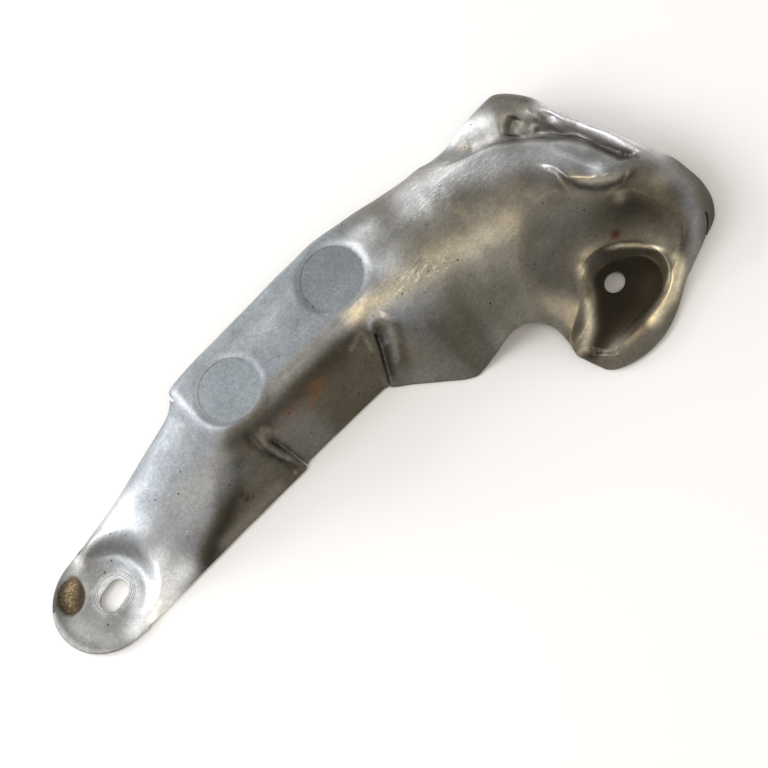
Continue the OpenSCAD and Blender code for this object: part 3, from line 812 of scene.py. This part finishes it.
# Painted sheen at the skirt's end, painted glints on and below the lip's fold, painted shade in its crease,
# below it and beside the seat, and a dull arc over the seat
LIP_MARKS = (
    # painted sheen at the end of the skirt
    ("soft end of the skirt", SOFT_GREY, 0.7, trail,
     (((97, -8), (96, -24), (88, -37), (74, -47)), 2.8), 0.45),
    ("gold fold of the lip", GOLD_GLINT, 0.8, stroke,
     (((73.8, 8.4), (74.6, 4.6), (75.6, 1.6), (78.4, -1.6), (82.8, -4.8), (89, -6.6)), 1), 0.3),
    ("dark crease under the lip", DARK_BROWN, 0.75, stroke,
     (((72.6, 10.4), (72.3, 4.6), (73.8, 0.2), (76.4, -3.1), (79.5, -5.6), (83.2, -7.4), (88.4, -8.4),
       (91, -8.2)), 1.1)),
    ("shade below the lip", DARK_BROWN, 0.4, blob, ((77, -14), 14, 7, -20)),
    ("dark band beside the seat", DARK_BROWN, 0.7, trail, (((80, -12), (84, -20), (84, -31)), 4.2)),
    ("gold glint at the end", GOLD_GLINT, 0.5, blob, ((93.5, -15.5), 3.5, 2.6, -40)),
    ("gold glint below the lip", GOLD_GLINT, 0.4, blob, ((80.2, -10.6), 2, 1.6)),
    ("dull arc over the seat", WARM_GREY, 0.6, trail,
     (((69.5, 3.9), (58, 7), (50.7, 4.8), (43, -3), (41, -12), (40.4, -20.4)), 3), 0.66),
)
# painted glints on the seat's left wall
SEAT_WALL_GLINTS = (
    ("gold left wall of the seat", GOLD_GLINT, 0.9, trail,
     (((56.2, -18.4), (51.6, -25.6), (45.4, -32.6), (39.6, -35.6)), 1.8), 0.34),
    ("glint along the left wall", TAN_GLINT, 0.95, stroke,
     (((57.6, -15.8), (55.6, -19.6), (51.4, -25.8), (45.2, -32.6), (39.6, -35.6)), 0.9), 0.24),
)
# Painted shade on the seat's floor, painted glints on its walls and in its channel, a rust spot, and the
# dark crack at the step
SEAT_MARKS = (
    ("brown floor of the seat", SEAT_SHADE_BROWN, 0.8, trail, (((70, -36), (60, -40.5), (52, -40.5)), 3.4)),
    ("thin glint on the right wall", TAN_GLINT, 0.75, stroke,
     (((65, -18.4), (70, -21.4), (73.6, -24.8), (77.4, -30), (78.6, -33)), 0.5), 0.3),
    ("glint round the near wall", TAN_GLINT, 0.9, stroke,
     (((81, -34), (78, -39.4), (70, -43.4), (61.6, -45), (57, -45.4)), 1.8), 0.3),
    ("gold at the channel's mouth", GOLD_GLINT, 0.7, blob, ((43.5, -21), 3.5, 6, 30), 0.36),
    ("gold in the channel", GOLD_GLINT, 0.3, blob, ((47.5, -42.4), 5, 2.6)),
    ("rust spot above the seat", DARK_RUST, 1, blob, ((71.4, -18), 1.7, 1.4), 0.6),
    ("jagged crack at the step", DARK_BROWN, 0.9, trail,
     (((-66.6, 9.4), (-66.6, 7.2), (-68.1, 6.6), (-67.5, 4.6), (-65.7, 4.2)), 0.45)),
)

# Where the metal is scratched most: strength, place, half widths and turn; and the wear elsewhere
WORN_SPOTS = ((1.0, (48, 30), 15, 7, -20), (0.9, (20, 17), 9, 5, -15))
WEAR_LEAST = 0.12

# Zones and places of the coat. A zone is a start and a run: along x, up v, by the normal, or out from
# a form's edge. BROWN_TOP is the brown's upper edge by station, FAR_EDGE and PALE_CORNER are a path and
# its half width, a crescent is a radius and its half width
SKY_SHEEN_END = (2, 26)
LEVEL_TOP = (0.45, 0.3)
STEEP_SIDE = (0.45, 0.35)
STEEP_SIDE_END = (20, 40)
SOFT_SIDE = (0.15, 0.3)
ARCH_END = (-52, 24)
TAB_ROOT = (-118, 10)
TAB_END = (-118, 12)
BROWN_TOP = ((-104, -92, -77, -66, -56), (-6, 1, 7, 18, 21))
BROWN_TOP_RUN = 5
FAR_EDGE = (((-58, 39), (0, 41), (20, 38)), 3.4)
NEAR_SHOULDER = ((-66, 19.5), (-40, 23.3), (-9, 22.6))
SHOULDER_OFFSET = 1.0
SHOULDER_HALF = 2.4
SHOULDER_END = (-12, 8)
WASHER_AT = (SLOT_AT[0] + 0.6, SLOT_AT[1] + 0.9, TAB_SEAT_H)
WASHER_EDGE = (6.2, 1.6)
DENT_SHADE_HALO = (0.8, 0.5)
TARNISH_SIZE = 0.45
TARNISH_START = (6, 14)
TARNISH_TOP = (16, 14)
HEAD_END_START = (62, 14)
HEAD_END_TOP = (-12, 12)
PALE_CORNER = (((95, -3), (100, -10)), 6)
SEAT_SIDE = (3.0, 5.0)
SEAT_FLOOR = (0.2, 1.4)
FAR_WALL_EDGE = (3.4, 1.2)
FAR_WALL_START = (60, 6)
FAR_WALL_FOOT = (-36, 5)
CRESCENT_TURN = (0.3, -0.95)
SHADED_CRESCENT = (11.4, 1.5)
LIT_CRESCENT = (12, 1.6)
PAD_EDGE = 0.6


class Coat:
    """Base colour and roughness of the sheet's points, laid on in layers, in the drawing frame."""

    def __init__(self, p, n):
        self.x, self.y = p[:, 0], p[:, 1]
        self.v = sight_height(p)
        # level and side: how far a point faces up and towards the near side, by which sheen and shade are
        # painted
        self.level = n[:, 2]
        self.side = np.clip(-n[:, 1], 0, 1)
        self.colour = np.tile(np.array(WARM_GREY), (len(p), 1))
        self.rough = np.full(len(p), SHEET_ROUGH)

    def lay(self, tone, strength, k, rough=None):
        """Lays a tone on by its strength where k is 1, and with it the roughness that it brings."""
        k = np.clip(strength * k, 0, 1)
        self.colour = mix(self.colour, np.array(tone), k[:, None])
        if rough is not None:
            self.rough = mix(self.rough, rough, k)

    def mark(self, marks):
        for _, tone, strength, kind, place, *rough in marks:
            self.lay(tone, strength, kind(self.x, self.v, *place), *rough)

    def off(self, at):
        """Distance from a place, seen from above."""
        return np.hypot(self.x - at[0], self.y - at[1])


def coat_arch(coat):
    """Painted sky sheen on the cool top, brown near walls that are partly tarnish and partly painted shade,
    and the lower arch, brown towards its near foot as painted shade.
    """
    x, v = coat.x, coat.v
    arch = fall(x, *ARCH_END)
    # painted sky reflection: cool grey on the faces that look up
    coat.lay(COOL_SKY_SHEEN, 1, fall(x, *SKY_SHEEN_END) * rise(coat.level, *LEVEL_TOP))
    # painted highlight along the far edge of the middle
    coat.lay(PALE_SHEEN_GREY, 0.3, trail(x, v, *FAR_EDGE))
    # brown on the faces turned to the near side: partly tarnish, partly painted shade
    coat.lay(BROWN, 1, rise(coat.side, *STEEP_SIDE) * fall(x, *STEEP_SIDE_END))
    # painted sheen: a lighter grey on the lower arch's faces turned to the near side
    coat.lay(SOFT_GREY, 0.95, rise(coat.side, *SOFT_SIDE) * arch * rise(x, *TAB_ROOT))
    # painted shade: brown towards the lower arch's near foot
    coat.lay(BROWN, 0.95, arch * fall(v - np.interp(x, *BROWN_TOP), 0, BROWN_TOP_RUN))
    coat.mark(ARCH_LIGHT_AND_SHADE)
    # painted soft highlight along the near shoulder
    shoulder = path_gap(x, v, NEAR_SHOULDER)[0] - SHOULDER_OFFSET
    coat.lay(LIT_EDGE_BROWN, 0.6, bell(shoulder / SHOULDER_HALF) * fall(x, *SHOULDER_END), 0.7)
    coat.mark(CREST_MARKS)


def coat_tab(coat):
    """The tab: pale rims as painted highlights, a paler disc round the slot, painted shade on the dish's
    wall and round end, and round the stained dent.
    """
    coat.lay(TAB_GREY, 0.9, fall(coat.x, *TAB_END))
    coat.mark(TAB_HIGHLIGHTS)
    # a paler disc round the slot, where a washer sits
    coat.lay(TAB_PALE, 0.4, fall(coat.off(WASHER_AT), *WASHER_EDGE))
    coat.mark(TAB_SHADES)
    # painted shade over and round the dent
    coat.lay(MID_GREY, 0.35, fall(ellipse(coat.x, coat.v, *DENT), *DENT_SHADE_HALO), 0.55)


def coat_head(coat):
    """The head: patchy tarnish near the bend, its painted light and shade, and the brown end, partly
    tarnish and partly painted shade.
    """
    x, v = coat.x, coat.v
    cover = patchy(TARNISH_SIZE * x, TARNISH_SIZE * v)
    coat.lay(BROWN, 0.3, cover * rise(x, *TARNISH_START) * fall(v, *TARNISH_TOP))
    coat.mark(HEAD_LIGHT_AND_SHADE)
    # the brown end: partly tarnish, partly painted shade on the near side, kept off the pale corner
    bare = 1 - trail(x, v, *PALE_CORNER)
    coat.lay(BROWN, 0.85, rise(x, *HEAD_END_START) * fall(v, *HEAD_END_TOP) * bare)
    coat.mark(LIP_MARKS)


def coat_seat(coat):
    """The bolt seat: painted shade in it, as brown sides and a dark floor and wall, and painted glints
    along its walls.
    """
    gap = seat_gap(coat.x, coat.y)
    # painted shade in the seat: brown sides and a dark floor
    coat.lay(BROWN, 0.8, fall(gap, *SEAT_SIDE), 0.34)
    coat.lay(DARK_BROWN, 1, fall(gap, *SEAT_FLOOR), 0.38)
    coat.mark(SEAT_WALL_GLINTS)
    # painted shade on the seat's far wall
    far_wall = fall(gap, *FAR_WALL_EDGE) * rise(coat.x, *FAR_WALL_START) * rise(coat.v, *FAR_WALL_FOOT)
    coat.lay(DARK_BROWN, 0.55, far_wall, 0.38)
    coat.mark(SEAT_MARKS)


def coat_pads(coat):
    """The coined pads, the second one painted darker as shade and set between a painted shade crescent and
    a painted highlight crescent.
    """
    at = PADS[1]
    gap = coat.off(at)
    across = CRESCENT_TURN[0] * (coat.y - at[1]) + CRESCENT_TURN[1] * (coat.x - at[0])
    leftwards = across / np.maximum(gap, TINY)
    # painted shade and painted highlight on the two sides of the second pad's rim
    coat.lay(MID_GREY, 0.45, bell((gap - SHADED_CRESCENT[0]) / SHADED_CRESCENT[1]) * ease(leftwards))
    coat.lay(PALE_SHEEN_GREY, 0.35, bell((gap - LIT_CRESCENT[0]) / LIT_CRESCENT[1]) * ease(-leftwards))
    for pad, tone in zip(PADS, (PAD_GREY, SHADED_PAD_GREY)):
        coat.lay(tone, 1, fall(coat.off(pad), PAD_D / 2, PAD_EDGE), 0.6)


def coat_with_painted_light(p, n):
    """Base colour with its painted highlights and shade, roughness and wear by place."""
    coat = Coat(p, n)
    coat_arch(coat)
    coat_tab(coat)
    coat.mark(MIDDLE_MARKS)
    coat_head(coat)
    coat_seat(coat)
    coat_pads(coat)
    wear = WEAR_LEAST + sum(strength * blob(coat.x, coat.v, *spot) for strength, *spot in WORN_SPOTS)
    return coat.colour, np.clip(coat.rough, *ROUGH_RANGE), wear


def paint(ob):
    """Stores the coat on the mesh: its colour, painted highlights and shade included, with the roughness as
    alpha, and the wear.
    """
    mesh = ob.data
    count = len(mesh.vertices)
    co = np.empty(count * 3, np.float32)
    mesh.vertices.foreach_get("co", co)
    vn = np.empty(count * 3, np.float32)
    mesh.vertex_normals.foreach_get("vector", vn)
    p = co.reshape(-1, 3).astype(float) * 1000 - np.array(PART_SHIFT)
    colour, rough, wear = coat_with_painted_light(p, vn.reshape(-1, 3).astype(float))
    tint_with_painted_light = mesh.attributes.new("tint_with_painted_light", "FLOAT_COLOR", "POINT")
    tint_with_painted_light.data.foreach_set("color", np.concatenate([colour, rough[:, None]], 1).astype(np.float32).ravel())
    worn = mesh.attributes.new("wear", "FLOAT", "POINT")
    worn.data.foreach_set("value", wear.astype(np.float32))


# Shade of the sheet: noise scale, the span of the noise, and the brightness at its two ends, for the
# finest grain, the grain, the clouds and the stray dark pits
SHADES = ((2200, 0.3, 0.7, 0.84, 1.14), (700, 0.3, 0.7, 0.9, 1.09), (90, 0.3, 0.7, 0.86, 1.12),
          (420, 0.72, 0.78, 1.0, 0.35))
SHADE_DETAIL = 3

# Scratches: noise scale, turn, width, and how much brighter they are, or darker below 0
SCRATCHES = ((60, 15, 0.010, 0.7), (75, -40, 0.008, 0.6), (50, 80, 0.008, -0.45))
SCRATCH_STRETCH = (1, 9, 3)
SCRATCH_DETAIL = 2.5
NOISE_MIDDLE = 0.5

# Dark specks, and the brightness of specks and washer rings
SPECK_SCALE = 170
SPECK_SIZE = 0.06
MARK_SHADE = 0.3

# Thin rings worn round the slot: radii, half width of a line, and how far they wander (mm)
WASHER_RINGS = (5.6, 6.3, 7.0)
RING_LINE = 0.09
RING_WOBBLE = 0.6
RING_NOISE = (120, 2)

# The stain in the dent: its middle, half lengths and turn; noises of its outline and of its gold
# speckle; then, in half lengths, the painted shade on its right side, the painted shade at its edge and the
# outline
DENT_MIDDLE = (-128.7, 25.3, 0.5)
DENT_STAIN = (6.9, 5.3)
DENT_TURN = 48.0
STAIN_NOISE = (300, 4)
STAIN_WOBBLE = 0.05
SPECKLE_NOISE = (1500, 5)
SPECKLE_SPAN = (0.42, 0.62)
DENT_SHADED_SIDE = (0.0, -0.6)
DENT_SHADED_EDGE = (0.4, 0.95)
DENT_SHADE_MOST = 0.8
STAIN_EDGE = (0.86, 1.03)

# Finish: metallic share, noises (scale and detail), and the bump's strength and depth in metres
NOISE_SPAN = (0.3, 0.7)
SHEET_METALLIC = 0.85
SHEET_ROUGH_NOISE = (260, 4)
SHEET_ROUGH_SHIFT = (-0.06, 0.08)
SHEET_BUMP_NOISES = ((700, 3), (160, 3))
SHEET_BUMP = (0.25, 0.0002)
PAD_METALLIC = 0.5
PAD_ROUGH = 0.62
PAD_NOISE = (1100, 4)
PAD_SHADE = (0.82, 1.15)
PAD_BUMP = (0.4, 0.0001)


def new_material(name):
    mat = bpy.data.materials.new(name)
    mat.use_nodes = True
    return mat, mat.node_tree, mat.node_tree.nodes["Principled BSDF"]


def set_inputs(n, values):
    for key, value in values.items():
        n.inputs[key].default_value = value


def add_node(tree, kind, values=None, links=None):
    """A node with some sockets set to values and others fed by other nodes' sockets."""
    n = tree.nodes.new("ShaderNode" + kind)
    set_inputs(n, values or {})
    for key, socket in (links or {}).items():
        tree.links.new(socket, n.inputs[key])
    return n


def object_coords(tree):
    return add_node(tree, "TexCoord").outputs["Object"]


def attribute(tree, name):
    n = add_node(tree, "Attribute")
    n.attribute_name = name
    return n.outputs


def noise(tree, coords, scale, detail, stretch=None, turn=0.0):
    if stretch is not None:
        turned = {"Scale": stretch, "Rotation": (0, 0, math.radians(turn))}
        coords = add_node(tree, "Mapping", turned, {"Vector": coords}).outputs["Vector"]
    return add_node(tree, "TexNoise", {"Scale": scale, "Detail": detail}, {"Vector": coords}).outputs["Fac"]


def remap(tree, value, low, high, to_low, to_high):
    spans = {"From Min": low, "From Max": high, "To Min": to_low, "To Max": to_high}
    return add_node(tree, "MapRange", spans, {"Value": value}).outputs["Result"]


def math_of(tree, operation, *values):
    """A maths node; each value is a number or a socket."""
    n = add_node(tree, "Math")
    n.operation = operation
    for socket, value in zip(n.inputs, values):
        if isinstance(value, (int, float)):
            socket.default_value = value
        else:
            tree.links.new(value, socket)
    return n.outputs["Value"]


def vector_math(tree, operation, first):
    n = add_node(tree, "VectorMath", links={0: first})
    n.operation = operation
    return n


def blend(tree, factor, under, over):
    """One colour laid over another; a colour is a socket or three numbers."""
    n = add_node(tree, "Mix", links={0: factor})
    n.data_type = "RGBA"
    for socket, colour in ((n.inputs[6], under), (n.inputs[7], over)):
        if isinstance(colour, tuple):
            socket.default_value = colour + (1,)
        else:
            tree.links.new(colour, socket)
    return n.outputs[2]


def scale_colour(tree, colour, factor):
    n = vector_math(tree, "SCALE", colour)
    tree.links.new(factor, n.inputs["Scale"])
    return n.outputs["Vector"]


def add_bump(tree, bsdf, height, strength, depth):
    bump = add_node(tree, "Bump", {"Strength": strength, "Distance": depth}, {"Height": height})
    tree.links.new(bump.outputs["Normal"], bsdf.inputs["Normal"])


def hairlines(tree, coords, wear, scale, turn, width):
    """1 on thin scratches, which get thicker and closer where the sheet is worn."""
    field = noise(tree, coords, scale, SCRATCH_DETAIL, SCRATCH_STRETCH, turn)
    return math_of(tree, "COMPARE", field, NOISE_MIDDLE, math_of(tree, "MULTIPLY", wear, width))


def washer_rings(tree, coords):
    """1 on the thin rings that a washer has worn round the slot."""
    away = vector_math(tree, "DISTANCE", coords)
    away.inputs[1].default_value = tuple(to_frame(WASHER_AT))
    wander = RING_WOBBLE / 1000
    wobble = remap(tree, noise(tree, coords, *RING_NOISE), 0.0, 1.0, -wander, wander)
    radius = math_of(tree, "ADD", away.outputs["Value"], wobble)
    lines = [math_of(tree, "COMPARE", radius, ring / 1000, RING_LINE / 1000) for ring in WASHER_RINGS]
    rings = lines[0]
    for line in lines[1:]:
        rings = math_of(tree, "MAXIMUM", rings, line)
    return rings


def stained_dent(tree, coords, colour):
    """The brown stain in the dent of the tab, speckled gold in the middle, with painted shade along its
    right side and edge.
    """
    ellipse_at = {"Location": tuple(to_frame(DENT_MIDDLE)), "Rotation": (0, 0, math.radians(DENT_TURN)),
                  "Scale": (DENT_STAIN[0] / 1000, DENT_STAIN[1] / 1000, 1)}
    place = add_node(tree, "Mapping", ellipse_at, {"Vector": coords})
    place.vector_type = "TEXTURE"
    length = vector_math(tree, "LENGTH", place.outputs["Vector"])
    parts = add_node(tree, "SeparateXYZ", links={"Vector": place.outputs["Vector"]})
    wobble = remap(tree, noise(tree, coords, *STAIN_NOISE), *NOISE_SPAN, -STAIN_WOBBLE, STAIN_WOBBLE)
    reach = math_of(tree, "ADD", length.outputs["Value"], wobble)
    speckle = remap(tree, noise(tree, coords, *SPECKLE_NOISE), *SPECKLE_SPAN, 0, 1)
    gold = blend(tree, speckle, DENT_BROWN, DENT_GOLD)
    # painted shade: darker along the dent's right side and its edge
    right = remap(tree, parts.outputs["Y"], *DENT_SHADED_SIDE, 0, 1)
    edge = math_of(tree, "MAXIMUM", right, remap(tree, reach, *DENT_SHADED_EDGE, 0, DENT_SHADE_MOST))
    stain = blend(tree, edge, gold, DENT_SHADE)
    return blend(tree, remap(tree, reach, *STAIN_EDGE, 1, 0), colour, stain)


def dark_specks(tree, coords):
    """1 on a few small dark pits."""
    cells = add_node(tree, "TexVoronoi", {"Scale": SPECK_SCALE}, {"Vector": coords})
    return math_of(tree, "LESS_THAN", cells.outputs["Distance"], SPECK_SIZE)


def sheet_shade(tree, coords):
    """Brightness of the sheet: grain, clouds, pits, scratches, washer rings and specks, multiplied."""
    wear = attribute(tree, "wear")["Fac"]
    layers = [remap(tree, noise(tree, coords, scale, SHADE_DETAIL), *span) for scale, *span in SHADES]
    for scale, turn, width, gain in SCRATCHES:
        layers.append(remap(tree, hairlines(tree, coords, wear, scale, turn, width), 0, 1, 1, 1 + gain))
    for marks in (washer_rings(tree, coords), dark_specks(tree, coords)):
        layers.append(remap(tree, marks, 0, 1, 1, MARK_SHADE))
    shade = layers[0]
    for layer in layers[1:]:
        shade = math_of(tree, "MULTIPLY", shade, layer)
    return shade


def sheet_metal():
    """Dull aluminised steel: its painted colour with painted highlights and shade, fine grain, dark specks,
    scratches and slight dents.
    """
    mat, tree, bsdf = new_material("aluminised_steel")
    coords = object_coords(tree)
    tint_with_painted_light = attribute(tree, "tint_with_painted_light")
    colour = stained_dent(tree, coords, tint_with_painted_light["Color"])
    tree.links.new(scale_colour(tree, colour, sheet_shade(tree, coords)), bsdf.inputs["Base Color"])
    uneven = remap(tree, noise(tree, coords, *SHEET_ROUGH_NOISE), *NOISE_SPAN, *SHEET_ROUGH_SHIFT)
    tree.links.new(math_of(tree, "ADD", tint_with_painted_light["Alpha"], uneven), bsdf.inputs["Roughness"])
    set_inputs(bsdf, {"Metallic": SHEET_METALLIC})
    fine, coarse = [noise(tree, coords, *kind) for kind in SHEET_BUMP_NOISES]
    add_bump(tree, bsdf, math_of(tree, "ADD", fine, coarse), *SHEET_BUMP)
    return mat


def pad_metal():
    """The coined pads' floor: dull, with an even fine grain."""
    mat, tree, bsdf = new_material("coined_pad")
    coords = object_coords(tree)
    grain = noise(tree, coords, *PAD_NOISE)
    shade = remap(tree, grain, *NOISE_SPAN, *PAD_SHADE)
    tree.links.new(scale_colour(tree, attribute(tree, "tint_with_painted_light")["Color"], shade), bsdf.inputs["Base Color"])
    set_inputs(bsdf, {"Metallic": PAD_METALLIC, "Roughness": PAD_ROUGH})
    add_bump(tree, bsdf, grain, *PAD_BUMP)
    return mat


def smooth_with_sharp_edges(mesh, degrees):
    mesh.polygons.foreach_set("use_smooth", np.ones(len(mesh.polygons), bool))
    mesh.set_sharp_from_angle(angle=math.radians(degrees))


def build_sheet():
    low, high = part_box("heat_shield")
    mesh = shell_mesh("heat_shield_sheet", fine_grid(), low, high)
    ob = add_object("heat_shield_sheet", mesh)
    mesh.materials.append(sheet_metal())
    cut_away(ob, bosses(), "UNION")
    cut_away(ob, cutters(pad_metal()), "DIFFERENCE")
    ob.data.name = "heat_shield_sheet"
    smooth_with_sharp_edges(ob.data, SHARP_ANGLE)
    paint(ob)
    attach(ob, "root")
    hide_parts("heat_shield")


def add_floor():
    bpy.ops.mesh.primitive_plane_add(size=FLOOR_SIZE, location=(0, 0, 0))
    floor = bpy.context.object
    floor.name = "floor"
    mat, _, bsdf = new_material("floor")
    set_inputs(bsdf, {"Base Color": FLOOR_COLOUR, "Roughness": 1, "Specular IOR Level": 0})
    floor.data.materials.append(mat)


def add_area(name, at, size, power, colour):
    """A lamp panel that looks at the middle of the part."""
    light = bpy.data.lights.new(name, "AREA")
    light.shape = "RECTANGLE"
    light.size, light.size_y = size
    light.energy = power
    light.color = colour
    ob = add_object(name, light)
    ob.location = at
    ob.rotation_euler = (-Vector(at)).to_track_quat("-Z", "Y").to_euler()


def add_world():
    world = bpy.data.worlds.new("studio")
    world.use_nodes = True
    set_inputs(world.node_tree.nodes["Background"], {"Color": (1, 1, 1, 1), "Strength": WORLD_STRENGTH})
    bpy.context.scene.world = world


def add_camera():
    """The photograph's camera: above the near side, rolled, and far away with a long lens."""
    e, roll = math.radians(SIGHT_ELEVATION), math.radians(SIGHT_ROLL)
    to_camera = Vector((0, -math.cos(e), math.sin(e)))
    level = Vector((1, 0, 0))
    up = to_camera.cross(level)
    right = level * math.cos(roll) - up * math.sin(roll)
    top = level * math.sin(roll) + up * math.cos(roll)
    place = Matrix((right, top, to_camera)).transposed().to_4x4()
    place.translation = Vector(to_frame(SIGHT_POINT)) + to_camera * SIGHT_DISTANCE / 1000
    camera = bpy.data.cameras.new("camera")
    camera.sensor_width = SENSOR_WIDTH
    camera.lens = SIGHT_DISTANCE / MM_PER_PIXEL * SENSOR_WIDTH / PICTURE_PIXELS
    ob = add_object("camera", camera)
    ob.matrix_world = place
    bpy.context.scene.camera = ob


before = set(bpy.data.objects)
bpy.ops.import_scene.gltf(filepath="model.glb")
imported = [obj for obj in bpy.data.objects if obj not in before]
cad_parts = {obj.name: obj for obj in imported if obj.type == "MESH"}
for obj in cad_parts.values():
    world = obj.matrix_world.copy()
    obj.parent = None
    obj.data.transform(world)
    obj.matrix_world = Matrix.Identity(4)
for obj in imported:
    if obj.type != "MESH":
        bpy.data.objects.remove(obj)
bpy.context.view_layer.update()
build_sheet()
add_floor()
for panel in LIGHTS:
    add_area(*panel)
add_world()
add_camera()
bpy.context.scene.view_settings.view_transform = "Standard"
